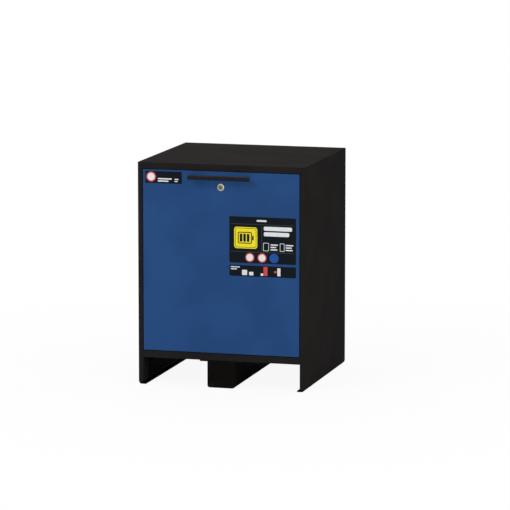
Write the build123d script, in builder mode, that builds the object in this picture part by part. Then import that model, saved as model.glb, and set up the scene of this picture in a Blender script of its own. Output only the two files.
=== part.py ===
from build123d import *
import os
from math import cos, radians, sin, sqrt, tan

# Fire-rated charging cabinet for lithium-ion batteries, made to stand under a bench.
# A folded steel casing holds insulation boards and light liner boards. One tall drawer runs on
# three-part ball-bearing runners, its front closes on seals, and a key lock lifts a bolt into
# the top rail. Skids under the floor leave room for the forks of a pallet truck.
# Millimetres. X to the right, -Y to the front, +Z up. The origin is on the floor, in the middle
# of the whole envelope from the handle to the air spigots.

# ---- casing ----
cabinet_width = 593.0
cabinet_depth = 574.0
cabinet_height = 775.0
skid_height = 95.0
skin = 1.5
insulation = 50.0
liner = 12.0
post_width = 16.5
top_rail = 22.0
bottom_rail = 24.0
recess_depth = 66.0
back_return = 18.0
bend_radius = 1.5
nose_radius = 1.2

# ---- skids ----
foot_plate = 4.0
foot_width = 26.0
foot_leg = 60.0
foot_bend = 8.0
centre_skid_width = 97.0
centre_skid_flange = 27.0

# ---- seals at the front opening ----
seal_width = 20.0
seal_thickness = 2.0
seal_inset = 14.0
gasket_width = 9.0

# ---- drawer front ----
front_gap = 2.0
front_thickness = 60.0
front_liner_board = 10.0
touch_gap = 0.3

# ---- handle and lock ----
handle_reach = 34.0
handle_hole_spacing = 192.0
handle_overhang = 13.0
handle_bar_height = 16.0
handle_bar_depth = 9.0
handle_post_radius = 5.0
handle_drop = 19.0
handle_screw_radius = 2.0
lock_drop = 54.0
lock_core_radius = 8.0
lock_rosette_radius = 12.5
lock_rosette_height = 3.0
lock_case_width = 44.0
lock_case_depth = 16.0
lock_case_wall = 2.0
bolt_width = 22.0
bolt_thickness = 8.0
bolt_travel = 12.0
key_slot = (2.0, 8.0, 5.0)
core_gap = 0.1
driver_radius = 12.0
pin_radius = 2.0
pin_gap = 0.45

# ---- screws ----
screw_radius = 2.5
screw_head_radius = 4.5
screw_head = 2.4
screw_shank = 10.0
screw_gap = 0.2
handle_thread = 12.0
thread_gap = 0.05

# ---- runners ----
runner_back_gap = 16.0
runner_drop = 82.0
ball_radius = 2.5
ball_clearance = 0.12
runner_sheet = 1.6
race_height = 24.0
cage_sheet = 0.8
cage_gap = 0.3
cage_length = 200.0
balls_per_row = 3
ball_pitch = 85.0

# ---- drawer tub ----
tub_sheet = 2.0
tub_height = 200.0
tub_floor_gap = 12.0
tub_rim = 12.0
tub_corner = 5.0
tub_back_gap = 14.0
insert_height = 30.0
insert_slot = (26.0, 8.0)
insert_pitch = (42.0, 26.0)
insert_slots = (9, 14)
stay_height = 150.0
stay_depth = 130.0
stay_flange = 18.0
stay_nose = 10.0

# ---- sockets inside ----
strip_length = 400.0
strip_height = 66.0
strip_depth = 46.0
strip_wall = 2.0
strip_above_tub = 70.0
socket_count = 5
socket_pitch = 66.0
socket_radius = 19.5
socket_depth = 15.0
socket_rim = 25.0
rocker_size = (18.0, 26.0)
rocker_depth = 8.0
rocker_angle = 12.0
rocker_tilt_gap = 2.0

# ---- air spigots and cable entry at the back ----
spigot_radius = 25.0
spigot_reach = 25.0
spigot_wall = 1.5
spigot_flange_radius = 38.0
spigot_flange = 2.0
sleeve_radius = 23.0
hole_clearance = 0.5
spigot_inset = 83.0
spigot_drop = 130.0
valve_radius = 31.0
valve_plate = 2.0
valve_travel = 12.0
valve_stem_radius = 3.0
valve_stem_length = 34.0
valve_hub_radius = 6.0
gland_hex = 27.0
gland_bore = 6.5
gland_thread_radius = 10.0
gland_reach = 22.0
gland_nut = 5.0

# ---- places worked out from the sizes above ----
half_width = cabinet_width / 2
front_y = handle_reach - (handle_reach + cabinet_depth + spigot_reach) / 2
back_y = front_y + cabinet_depth
seal_y = front_y + recess_depth
board_front_y = seal_y + skin
back_plate_y = back_y - 2 * skin
back_board_y = back_plate_y - insulation
inner_back_y = back_board_y - liner

base_z = skid_height
board_bottom_z = base_z + skin
board_top_z = cabinet_height - skin
board_half_x = half_width - skin
liner_half_x = board_half_x - insulation
inner_half_x = liner_half_x - liner
liner_bottom_z = board_bottom_z + insulation
inner_bottom_z = liner_bottom_z + liner
liner_top_z = board_top_z - insulation
inner_top_z = liner_top_z - liner

opening_half_x = half_width - post_width
opening_bottom_z = base_z + bottom_rail
opening_top_z = cabinet_height - top_rail

front_half_x = opening_half_x - front_gap
front_bottom_z = opening_bottom_z + front_gap
front_top_z = opening_top_z - front_gap
front_back_y = front_y + front_thickness
front_board_y = front_back_y - front_liner_board

lock_z = front_top_z - lock_drop
lock_case_low_z = lock_z - driver_radius - 3 * lock_case_wall
handle_z = front_top_z - handle_drop
tub_bottom_z = inner_bottom_z + tub_floor_gap
tub_top_z = tub_bottom_z + tub_height
runner_z = tub_top_z - runner_drop
runner_front_y = board_front_y + hole_clearance
runner_length = inner_back_y - runner_back_gap - runner_front_y
strip_z = tub_top_z + strip_above_tub + strip_height / 2
cable_x = strip_length / 4
bolt_y = front_y + skin + lock_case_depth / 2
spigot_spacing = 2 * (inner_half_x - spigot_inset)
# A quarter turn carries the driver pin from below the core's middle to as far above it.
pin_offset = bolt_travel / 2
tub_back_y = inner_back_y - tub_back_gap
spigot_z = cabinet_height - spigot_drop

# The runner's section: u runs from the liner towards the drawer, v is up from its middle.
race_radius = ball_radius + ball_clearance
hook_radius = race_radius + runner_sheet
outer_ball_u = hook_radius
middle_web_u = runner_sheet + 2 * cage_gap + cage_sheet
inner_ball_u = middle_web_u + hook_radius
inner_ball_v = race_height - sqrt((race_radius + hook_radius) ** 2 - (inner_ball_u - outer_ball_u) ** 2)
inner_cage_u = middle_web_u + runner_sheet + cage_gap
inner_cup_u = inner_cage_u + cage_sheet + cage_gap
runner_face_u = inner_ball_u + hook_radius + 1.2
tub_half_x = inner_half_x - runner_face_u


def save(part, name):
    """Writes one sub-part to its own STEP file."""
    part.label = name
    export_step(part, f"parts/{name}.step")


def save_pair(part, name):
    """Writes a right-hand sub-part and its mirror image for the left."""
    save(part, f"{name}_right")
    save(part.mirror(Plane.YZ), f"{name}_left")


def discs(places, radius, y):
    """Round outlines at (x, z) places, in the plane at y; a positive extrude runs to the front."""
    with BuildSketch(Plane.XZ.offset(-y)) as outlines:
        with Locations(*places):
            Circle(radius)
    return outlines.sketch


def block(x0, x1, y0, y1, z0, z1):
    """A plain board between two corners."""
    with BuildPart() as board:
        with Locations(((x0 + x1) / 2, (y0 + y1) / 2, (z0 + z1) / 2)):
            Box(x1 - x0, y1 - y0, z1 - z0)
    return board.part


# ======================= casing =======================
def side_panel():
    """Outer wall, folded at the front into a post and at the back into a return."""
    jamb_x = opening_half_x
    with BuildPart() as panel:
        with BuildSketch(Plane.XY.offset(foot_bend)) as plan:
            with BuildLine():
                Polyline(
                    (half_width, front_y),
                    (half_width, back_y),
                    (half_width - back_return, back_y),
                    (half_width - back_return, back_y - skin),
                    (half_width - skin, back_y - skin),
                    (half_width - skin, front_y + skin),
                    (jamb_x + skin, front_y + skin),
                    (jamb_x + skin, seal_y),
                    (jamb_x, seal_y),
                    (jamb_x, front_y),
                    close=True,
                )
            make_face()
            corners = [(half_width, front_y), (half_width, back_y), (jamb_x, front_y)]
            outside = [plan.vertices().sort_by_distance(point)[0] for point in corners]
            fillet(outside, bend_radius + skin / 2)
        extrude(amount=board_top_z - foot_bend)
    return panel.part


def rail_section(rail, plate_z, upward):
    """Side view of a rail at the front: plate, front face and jamb, folded from one sheet."""
    step = 1 if upward else -1
    face_z = plate_z + step * rail
    with BuildSketch(Plane.YZ.offset(-opening_half_x)) as section:
        with BuildLine():
            Polyline(
                (front_y, plate_z),
                (seal_y, plate_z),
                (seal_y, plate_z + step * skin),
                (front_y + skin, plate_z + step * skin),
                (front_y + skin, face_z - step * skin),
                (seal_y, face_z - step * skin),
                (seal_y, face_z),
                (front_y, face_z),
                close=True,
            )
        make_face()
        nose = [v for v in section.vertices() if abs(v.X - front_y) < skin / 2]
        fillet(nose, nose_radius)
    return section.sketch


def top_panel():
    """Lid plate with the top rail folded down at the front and a slot for the lock bolt."""
    with BuildPart() as panel:
        extrude(rail_section(top_rail, cabinet_height, False), amount=2 * opening_half_x)
        with BuildSketch(Plane.YZ.offset(-half_width)) as lid:
            with Locations(((front_y + back_y) / 2, cabinet_height - skin / 2)):
                Rectangle(cabinet_depth, skin)
            fillet(lid.vertices().sort_by(Axis.Y)[-2:].sort_by(Axis.X)[0], nose_radius)
        extrude(amount=cabinet_width)
        with Locations((0, bolt_y, opening_top_z)):
            Box(bolt_width + 4, bolt_thickness + 4, 4 * skin, mode=Mode.SUBTRACT)
    return panel.part


def base_panel():
    """Floor plate with the bottom rail folded up at the front."""
    with BuildPart() as panel:
        extrude(rail_section(bottom_rail, base_z, True), amount=2 * opening_half_x)
        with Locations((0, (seal_y + back_plate_y) / 2, base_z + skin / 2)):
            Box(2 * board_half_x, back_plate_y - seal_y, skin)
    return panel.part


def rear_holes(back_face_y):
    """Outline of the two air holes and the cable hole, drawn on the back face of a board."""
    with BuildSketch(Plane.XZ.offset(-back_face_y)) as holes:
        with Locations((spigot_spacing / 2, spigot_z), (-spigot_spacing / 2, spigot_z)):
            Circle(sleeve_radius + hole_clearance)
        with Locations((-cable_x, strip_z)):
            Circle(gland_thread_radius + hole_clearance)
    return holes.sketch


def rear_board(half_x, y0, thickness, z0, z1):
    """A board across the back with its holes for air and cable."""
    with BuildPart() as board:
        with Locations((0, y0 + thickness / 2, (z0 + z1) / 2)):
            Box(2 * half_x, thickness, z1 - z0)
        extrude(rear_holes(y0 + thickness), amount=thickness, mode=Mode.SUBTRACT)
    return board.part


def ring(half_x0, half_x1, z_low, z_high, inner_low, inner_high, y, thickness):
    """A rectangular frame that faces the front, with its outer face at y."""
    with BuildPart() as frame:
        with BuildSketch(Plane.XZ.offset(-y - thickness)):
            with Locations((0, (z_low + z_high) / 2)):
                Rectangle(2 * half_x1, z_high - z_low)
            with Locations((0, (inner_low + inner_high) / 2)):
                Rectangle(2 * half_x0, inner_high - inner_low, mode=Mode.SUBTRACT)
        extrude(amount=thickness)
    return frame.part


def foot_rail():
    """Angle under the side wall, with a generous bend, that stands on the floor."""
    outer_x = half_width - skin
    with BuildPart() as rail:
        with BuildSketch(Plane.XZ.offset(-(back_y - skin))) as section:
            with BuildLine():
                Polyline(
                    (outer_x, foot_leg),
                    (outer_x, 0),
                    (half_width - foot_width, 0),
                    (half_width - foot_width, foot_plate),
                    (outer_x - foot_plate, foot_plate),
                    (outer_x - foot_plate, foot_leg),
                    close=True,
                )
            make_face()
            fillet(section.vertices().sort_by_distance((outer_x, 0))[0], foot_bend)
            inside = (outer_x - foot_plate, foot_plate)
            fillet(section.vertices().sort_by_distance(inside)[0], foot_bend - foot_plate)
        extrude(amount=cabinet_depth - 2 * skin)
    return rail.part


def centre_skid():
    """Hat section with closed ends, welded under the floor plate."""
    half = centre_skid_width / 2
    with BuildPart() as skid:
        with BuildSketch(Plane.XZ.offset(-back_y)) as section:
            with Locations((0, base_z / 2)):
                Rectangle(centre_skid_width, base_z)
            fillet(section.vertices().group_by(Axis.Y)[0], foot_bend)
            with Locations((0, base_z - foot_plate / 2)):
                Rectangle(centre_skid_width + 2 * centre_skid_flange, foot_plate)
        extrude(amount=cabinet_depth)
        with BuildSketch(Plane.XZ.offset(-(back_y - foot_plate))) as hollow:
            with Locations((0, (base_z + foot_plate) / 2)):
                Rectangle(centre_skid_width - 2 * foot_plate, base_z - foot_plate)
            fillet(hollow.vertices().group_by(Axis.Y)[0], foot_bend - foot_plate)
        extrude(amount=cabinet_depth - 2 * foot_plate, mode=Mode.SUBTRACT)
    return skid.part


save_pair(side_panel(), "side_panel")
save(top_panel(), "top_panel")
save(base_panel(), "base_panel")
save(rear_board(board_half_x, back_plate_y, skin, base_z, board_top_z), "back_panel")
save_pair(foot_rail(), "foot_rail")
save(centre_skid(), "centre_skid")

save_pair(block(liner_half_x, board_half_x, board_front_y, back_plate_y, board_bottom_z, board_top_z), "insulation_side")
save(block(-liner_half_x, liner_half_x, board_front_y, back_plate_y, liner_top_z, board_top_z), "insulation_top")
save(block(-liner_half_x, liner_half_x, board_front_y, back_plate_y, board_bottom_z, liner_bottom_z), "insulation_floor")
save(rear_board(liner_half_x, back_board_y, insulation, liner_bottom_z, liner_top_z), "insulation_back")
save_pair(block(inner_half_x, liner_half_x, board_front_y, back_board_y, liner_bottom_z, liner_top_z), "liner_side")
save(block(-inner_half_x, inner_half_x, board_front_y, back_board_y, inner_top_z, liner_top_z), "liner_top")
save(block(-inner_half_x, inner_half_x, board_front_y, back_board_y, liner_bottom_z, inner_bottom_z), "liner_floor")
save(rear_board(inner_half_x, inner_back_y, liner, inner_bottom_z, inner_top_z), "liner_back")

# The trim covers the front edges of the boards, and the swelling strip is glued on it.
save(
    ring(inner_half_x, board_half_x, board_bottom_z, board_top_z, inner_bottom_z, inner_top_z, seal_y, skin),
    "frame_trim",
)
seal_half_x = inner_half_x + seal_inset
seal_low_z = inner_bottom_z - seal_inset
seal_high_z = inner_top_z + seal_inset
save(
    ring(
        seal_half_x,
        seal_half_x + seal_width,
        seal_low_z - seal_width,
        seal_high_z + seal_width,
        seal_low_z,
        seal_high_z,
        seal_y - seal_thickness,
        seal_thickness,
    ),
    "swelling_seal",
)


# ======================= runners =======================
def at(u, v):
    """A point of the runner's section."""
    return inner_half_x - u, runner_z + v


def band(u0, u1, v0, v1):
    """A rectangle of the runner's section, in the plane of the runner's rear end."""
    with BuildSketch(Plane.XZ.offset(-(runner_front_y + runner_length))) as piece:
        with Locations(at((u0 + u1) / 2, (v0 + v1) / 2)):
            Rectangle(u1 - u0, abs(v1 - v0))
    return piece.sketch


def curl(u, v, v_near, v_far, u_near=0.0):
    """The part of a rolled edge round a ball row that lies between the given limits."""
    reach = 3 * hook_radius
    with BuildSketch(Plane.XZ.offset(-(runner_front_y + runner_length))) as piece:
        with Locations(at(u, v)):
            Circle(hook_radius)
        with Locations(at(u_near + reach / 2, (v_near + v_far) / 2)):
            Rectangle(reach, abs(v_far - v_near), mode=Mode.INTERSECT)
    return piece.sketch


def races(u, v):
    """Clears the grooves in which the two rows of balls at (u, +v) and (u, -v) roll."""
    places = [at(u, side * v) for side in (1, -1)]
    extrude(discs(places, race_radius, runner_front_y + runner_length), amount=runner_length, mode=Mode.SUBTRACT)


def runner_outer():
    """Channel screwed to the liner, its edges rolled round the outer balls."""
    with BuildPart() as rail:
        extrude(band(0, runner_sheet, -race_height, race_height), amount=runner_length)
        for side in (1, -1):
            far = side * (race_height + hook_radius)
            extrude(curl(outer_ball_u, side * race_height, side * (race_height - 0.45), far), amount=runner_length)
        races(outer_ball_u, race_height)
    return rail.part


def runner_middle():
    """Middle member, rolled inside the outer balls and outside the inner ones."""
    with BuildPart() as rail:
        edge = race_height - 1.2
        extrude(band(middle_web_u, middle_web_u + runner_sheet, -edge, edge), amount=runner_length)
        for side in (1, -1):
            near, cup = side * (inner_ball_v - 0.2), side * (race_height - 1.1)
            extrude(curl(outer_ball_u, side * race_height, 0, cup, middle_web_u), amount=runner_length)
            far = side * (inner_ball_v + hook_radius)
            extrude(curl(inner_ball_u, side * inner_ball_v, near, far), amount=runner_length)
        races(outer_ball_u, race_height)
        races(inner_ball_u, inner_ball_v)
    return rail.part


def runner_inner():
    """Drawer member, screwed to the tub and cupped inside the inner balls."""
    low, high = inner_ball_v - hook_radius, inner_ball_v - race_radius
    with BuildPart() as rail:
        extrude(band(runner_face_u - runner_sheet, runner_face_u, -high, high), amount=runner_length)
        for side in (1, -1):
            extrude(band(inner_ball_u, runner_face_u, side * low, side * high), amount=runner_length)
            cup = side * (inner_ball_v - 1.1)
            extrude(curl(inner_ball_u, side * inner_ball_v, 0, cup, inner_cup_u), amount=runner_length)
        races(inner_ball_u, inner_ball_v)
    return rail.part


def bearing_ball():
    """A ball, turned from straight facets so that its many copies stay light."""
    with BuildPart() as turned:
        with BuildSketch(Plane.XZ):
            with BuildLine():
                angles = [-90 + 180 * i / 6 for i in range(7)]
                points = [(ball_radius * cos(radians(a)), ball_radius * sin(radians(a))) for a in angles]
                Polyline(*[(abs(x) if 0 < i < 6 else 0, z) for i, (x, z) in enumerate(points)], close=True)
            make_face()
        revolve(axis=Axis.Z)
    return turned.part


def ball_cage(sheet_u, ball_u, ball_v):
    """Strip that keeps two rows of balls at their pitch."""
    ball = bearing_ball()
    front = runner_front_y + (runner_length - cage_length) / 2
    with BuildPart() as cage:
        with Locations((inner_half_x - sheet_u - cage_sheet / 2, front + cage_length / 2, runner_z)):
            Box(cage_sheet, cage_length, 2 * ball_v)
        middle_y = front + cage_length / 2
        rows = [middle_y + (i - (balls_per_row - 1) / 2) * ball_pitch for i in range(balls_per_row)]
        with Locations(*[(inner_half_x - ball_u, y, runner_z + side * ball_v) for y in rows for side in (1, -1)]):
            add(ball)
    return cage.part


save_pair(runner_outer(), "runner_outer")
save_pair(runner_middle(), "runner_middle")
save_pair(runner_inner(), "runner_inner")
save_pair(ball_cage(runner_sheet + cage_gap, outer_ball_u, race_height), "cage_outer")
save_pair(ball_cage(inner_cage_u, inner_ball_u, inner_ball_v), "cage_inner")


# ======================= drawer front =======================
def handle_places():
    """The two handle posts as points on the front."""
    return [(side * handle_hole_spacing / 2, handle_z) for side in (1, -1)]


def tub_screw_places():
    """Screws that hold the tub to the drawer front."""
    across = tub_half_x - stay_flange / 2 - tub_sheet / 2
    return [(side * across, z) for side in (1, -1) for z in (tub_bottom_z + 60, tub_top_z - 40)]


def stay_screw_places():
    """Screws that hold the two stays to the drawer front."""
    across = tub_half_x - stay_flange / 2 - tub_sheet / 2
    return [(side * across, tub_top_z + stay_height * 0.7) for side in (1, -1)]


def pan_screws(places, radius, seat_y, shank, toward):
    """Screws whose heads sit on the plane seat_y and whose shanks point toward +1 or -1 along Y."""
    with BuildPart() as screws:
        extrude(discs(places, radius, seat_y), amount=-toward * shank)
        extrude(discs(places, screw_head_radius, seat_y), amount=toward * screw_head)
    return screws.part


def front_skin():
    """Folded steel tray with holes for the handle and the lock and a slot for the bolt."""
    height = front_top_z - front_bottom_z
    middle_z = (front_top_z + front_bottom_z) / 2
    with BuildPart() as tray:
        with Locations((0, front_y + front_thickness / 2, middle_z)):
            Box(2 * front_half_x, front_thickness, height)
        fillet(tray.faces().sort_by(Axis.Y)[0].edges(), bend_radius)
        with Locations((0, front_y + skin + front_thickness / 2, middle_z)):
            Box(2 * (front_half_x - skin), front_thickness, height - 2 * skin, mode=Mode.SUBTRACT)
        lock_hole = discs([(0, lock_z)], lock_core_radius + core_gap, front_y + skin)
        extrude(lock_hole, amount=skin, mode=Mode.SUBTRACT)
        screw_holes = discs(handle_places(), handle_screw_radius + screw_gap, front_y + skin)
        extrude(screw_holes, amount=skin, mode=Mode.SUBTRACT)
        with Locations((0, bolt_y, front_top_z)):
            Box(bolt_width + 1, bolt_thickness + 1, 4 * skin, mode=Mode.SUBTRACT)
    return tray.part


def front_board():
    """Insulation inside the tray, with pockets for the lock case and for the screw heads."""
    with BuildPart() as board:
        with Locations((0, (front_y + skin + front_board_y) / 2, (front_top_z + front_bottom_z) / 2)):
            Box(2 * (front_half_x - skin), front_board_y - front_y - skin, front_top_z - front_bottom_z - 2 * skin)
        case_depth = lock_case_depth - skin
        with Locations((0, front_y + skin + case_depth / 2, (lock_case_low_z + front_top_z) / 2)):
            Box(lock_case_width, case_depth, front_top_z - lock_case_low_z, mode=Mode.SUBTRACT)
        pocket = screw_head + 1
        screw_pockets = discs(handle_places(), screw_head_radius + 1, front_y + skin + pocket)
        extrude(screw_pockets, amount=pocket, mode=Mode.SUBTRACT)
    return board.part


def front_liner():
    """Light board that closes the back of the tray."""
    with BuildPart() as board:
        with Locations((0, front_back_y - front_liner_board / 2, (front_top_z + front_bottom_z) / 2)):
            Box(2 * (front_half_x - skin), front_liner_board, front_top_z - front_bottom_z - 2 * skin)
        places = tub_screw_places() + stay_screw_places()
        extrude(
            discs(places, screw_radius + thread_gap, front_back_y),
            amount=front_liner_board,
            mode=Mode.SUBTRACT,
        )
    return board.part


def handle():
    """Bow handle: a rounded bar on two round posts, tapped from behind."""
    half_length = handle_hole_spacing / 2 + handle_overhang
    bar_y = front_y - handle_reach + handle_bar_depth / 2
    with BuildPart() as bow:
        with BuildSketch(Plane.YZ.offset(-half_length)):
            with Locations((bar_y, handle_z)):
                RectangleRounded(handle_bar_depth, handle_bar_height, handle_bar_depth / 3)
        extrude(amount=2 * half_length)
        ends = bow.faces().sort_by(Axis.X)
        chamfer(ends[0].edges() + ends[-1].edges(), 1)
        extrude(discs(handle_places(), handle_post_radius, front_y), amount=handle_reach - handle_bar_depth / 2)
        threads = discs(handle_places(), handle_screw_radius + thread_gap, front_y)
        extrude(threads, amount=handle_thread + 1, mode=Mode.SUBTRACT)
    return bow.part


# ======================= lock =======================
def lock_case():
    """Open-topped case behind the skin, with ribs that guide the bolt."""
    depth = lock_case_depth - skin
    case_y = front_y + skin + depth / 2
    height = front_top_z - skin - lock_case_low_z
    rib_x = bolt_width / 2 + touch_gap
    rib = lock_case_width / 2 - rib_x
    rib_low_z = lock_z + driver_radius + 3 * lock_case_wall
    rib_height = front_top_z - skin - rib_low_z
    with BuildPart() as case:
        with Locations((0, case_y, lock_case_low_z + height / 2)):
            Box(lock_case_width, depth, height)
        with Locations((0, case_y, lock_case_low_z + lock_case_wall + height / 2)):
            Box(lock_case_width - 2 * lock_case_wall, depth - 2 * lock_case_wall, height, mode=Mode.SUBTRACT)
        with Locations(*[(side * (rib_x + rib / 2), case_y, rib_low_z + rib_height / 2) for side in (1, -1)]):
            Box(rib, depth, rib_height)
        core_hole = discs([(0, lock_z)], lock_core_radius + core_gap, front_y + skin + lock_case_wall)
        extrude(core_hole, amount=lock_case_wall, mode=Mode.SUBTRACT)
    return case.part


def lock_rosette():
    """Bevelled ring round the lock core."""
    with BuildPart() as rosette:
        extrude(discs([(0, lock_z)], lock_rosette_radius, front_y), amount=lock_rosette_height)
        chamfer(rosette.faces().sort_by(Axis.Y)[0].edges(), lock_rosette_height / 2)
        core_hole = discs([(0, lock_z)], lock_core_radius + core_gap, front_y)
        extrude(core_hole, amount=lock_rosette_height, mode=Mode.SUBTRACT)
    return rosette.part


def lock_core():
    """Turning core with a key slot, a driver disc and the pin that lifts the bolt."""
    disc_front_y = front_y + skin + lock_case_wall + touch_gap
    disc_back_y = bolt_y - bolt_thickness / 2 - touch_gap
    head_y = front_y - lock_rosette_height + touch_gap
    pin_back_y = bolt_y + bolt_thickness / 2
    with BuildPart() as core:
        extrude(discs([(0, lock_z)], lock_core_radius, disc_back_y), amount=disc_back_y - head_y)
        extrude(discs([(0, lock_z)], driver_radius, disc_back_y), amount=disc_back_y - disc_front_y)
        pin = discs([(pin_offset, lock_z - pin_offset)], pin_radius, pin_back_y)
        extrude(pin, amount=pin_back_y - disc_back_y)
        with Locations((0, head_y + key_slot[2] / 2, lock_z)):
            Box(key_slot[0], key_slot[2], key_slot[1], mode=Mode.SUBTRACT)
    return core.part


def lock_bolt():
    """Flat bolt with a bevelled top and a cross slot, open at one side, for the driver pin."""
    top = front_top_z - touch_gap
    bottom = lock_z - pin_offset - 3 * pin_radius
    slot_left = pin_offset - pin_radius - touch_gap
    with BuildPart() as bolt:
        with Locations((0, bolt_y, (top + bottom) / 2)):
            Box(bolt_width, bolt_thickness, top - bottom)
        chamfer(bolt.faces().sort_by(Axis.Z)[-1].edges().filter_by(Axis.X), bolt_thickness / 5)
        with Locations((slot_left + bolt_width / 2, bolt_y, lock_z - pin_offset)):
            Box(bolt_width, bolt_thickness, 2 * (pin_radius + pin_gap), mode=Mode.SUBTRACT)
    return bolt.part


gasket_x = seal_half_x + (seal_width - gasket_width) / 2
gasket_inset = (seal_width - gasket_width) / 2
gasket_thickness = seal_y - seal_thickness - touch_gap - front_back_y
save(front_skin(), "front_skin")
save(front_board(), "front_insulation")
save(front_liner(), "front_liner")
save(
    ring(
        gasket_x,
        gasket_x + gasket_width,
        seal_low_z - gasket_inset - gasket_width,
        seal_high_z + gasket_inset + gasket_width,
        seal_low_z - gasket_inset,
        seal_high_z + gasket_inset,
        front_back_y,
        gasket_thickness,
    ),
    "front_gasket",
)
save(handle(), "handle")
handle_shank = skin + handle_thread
save(pan_screws(handle_places(), handle_screw_radius, front_y + skin, handle_shank, -1), "handle_screws")
save(lock_case(), "lock_case")
save(lock_rosette(), "lock_rosette")
save(lock_core(), "lock_core")
save(lock_bolt(), "lock_bolt")


# ======================= inside of the drawer =======================
def tub():
    """Deep-drawn tray with a rim turned inwards."""
    middle_y = (front_back_y + tub_back_y) / 2
    middle_z = (tub_bottom_z + tub_top_z) / 2
    length = tub_back_y - front_back_y
    with BuildPart() as hollow:
        with Locations((0, middle_y, middle_z)):
            Box(2 * (tub_half_x - tub_sheet), length - 2 * tub_sheet, tub_height - 2 * tub_sheet)
        rounded = hollow.edges().filter_by(Axis.Z) + hollow.faces().sort_by(Axis.Z)[0].edges()
        fillet(rounded, tub_corner - tub_sheet)
    with BuildPart() as pan:
        with Locations((0, middle_y, middle_z)):
            Box(2 * tub_half_x, length, tub_height)
        fillet(pan.edges().filter_by(Axis.Z) + pan.faces().sort_by(Axis.Z)[0].edges(), tub_corner)
        add(hollow.part, mode=Mode.SUBTRACT)
        with Locations((0, middle_y, tub_top_z - tub_sheet / 2)):
            Box(2 * (tub_half_x - tub_rim), length - 2 * tub_rim, tub_sheet, mode=Mode.SUBTRACT)
        screw_holes = discs(tub_screw_places(), screw_radius + screw_gap, front_back_y + tub_sheet)
        extrude(screw_holes, amount=tub_sheet, mode=Mode.SUBTRACT)
    return pan.part


def perforated_insert():
    """Slotted plate on turned-down edges, which keeps the batteries off the tub's floor."""
    gap = tub_corner
    x, y0, y1 = tub_half_x - tub_sheet - gap, front_back_y + tub_sheet + gap, tub_back_y - tub_sheet - gap
    floor_z = tub_bottom_z + tub_sheet
    with BuildPart() as insert:
        with Locations((0, (y0 + y1) / 2, floor_z + insert_height / 2)):
            Box(2 * x, y1 - y0, insert_height)
        fillet(insert.edges().filter_by(Axis.Z), tub_corner)
        with Locations((0, (y0 + y1) / 2, floor_z + (insert_height - tub_sheet) / 2)):
            Box(2 * (x - tub_sheet), y1 - y0 - 2 * tub_sheet, insert_height - tub_sheet, mode=Mode.SUBTRACT)
        with Locations((0, (y0 + y1) / 2, floor_z + insert_height - tub_sheet / 2)):
            with GridLocations(*insert_pitch, *insert_slots):
                Box(*insert_slot, tub_sheet, mode=Mode.SUBTRACT)
    return insert.part


def front_stay():
    """Three-sided gusset between the tub's rim and the drawer front."""
    outer_x = tub_half_x - tub_corner / 2
    top_z = tub_top_z + stay_height
    rear_y = front_back_y + stay_depth
    with BuildPart() as stay:
        with BuildSketch(Plane.YZ.offset(outer_x - tub_sheet)):
            with BuildLine():
                Polyline(
                    (front_back_y, tub_top_z),
                    (rear_y, tub_top_z),
                    (rear_y, tub_top_z + stay_nose),
                    (front_back_y + stay_nose, top_z),
                    (front_back_y, top_z),
                    close=True,
                )
            make_face()
        extrude(amount=tub_sheet)
        with Locations((outer_x - tub_rim / 2, front_back_y + stay_depth / 2, tub_top_z + tub_sheet / 2)):
            Box(tub_rim, stay_depth, tub_sheet)
        with Locations((outer_x - stay_flange / 2, front_back_y + tub_sheet / 2, tub_top_z + stay_height / 2)):
            Box(stay_flange, tub_sheet, stay_height)
        screw_holes = discs(stay_screw_places(), screw_radius + screw_gap, front_back_y + tub_sheet)
        extrude(screw_holes, amount=tub_sheet, mode=Mode.SUBTRACT)
    return stay.part


save(tub(), "tub")
save(perforated_insert(), "perforated_insert")
save_pair(front_stay(), "front_stay")
front_places = tub_screw_places() + stay_screw_places()
save(pan_screws(front_places, screw_radius, front_back_y + tub_sheet, screw_shank, -1), "front_screws")


# ======================= sockets inside =======================
strip_front_y = inner_back_y - strip_depth
first_socket_x = -(strip_length - socket_pitch) / 2 + (strip_length - (socket_count + 1) * socket_pitch) / 2
rocker_x = first_socket_x + socket_count * socket_pitch


def socket_places():
    """The middle of each socket on the strip."""
    return [(first_socket_x + i * socket_pitch, strip_z) for i in range(socket_count)]


def socket_strip():
    """Housing on the rear liner, open at its back, with round holes and a switch opening."""
    with BuildPart() as strip:
        with Locations((0, inner_back_y - strip_depth / 2, strip_z)):
            Box(strip_length, strip_depth, strip_height)
        fillet(strip.faces().sort_by(Axis.Y)[0].edges(), 2 * strip_wall)
        with Locations((0, inner_back_y - (strip_depth - strip_wall) / 2, strip_z)):
            hollow_x, hollow_z = strip_length - 2 * strip_wall, strip_height - 2 * strip_wall
            Box(hollow_x, strip_depth - strip_wall, hollow_z, mode=Mode.SUBTRACT)
        cups = discs(socket_places(), socket_radius + strip_wall + touch_gap, strip_front_y + strip_wall)
        extrude(cups, amount=strip_wall, mode=Mode.SUBTRACT)
        with Locations((rocker_x, strip_front_y + strip_wall / 2, strip_z)):
            Box(rocker_size[0] + touch_gap, strip_wall, rocker_size[1] + rocker_tilt_gap, mode=Mode.SUBTRACT)
    return strip.part


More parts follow.
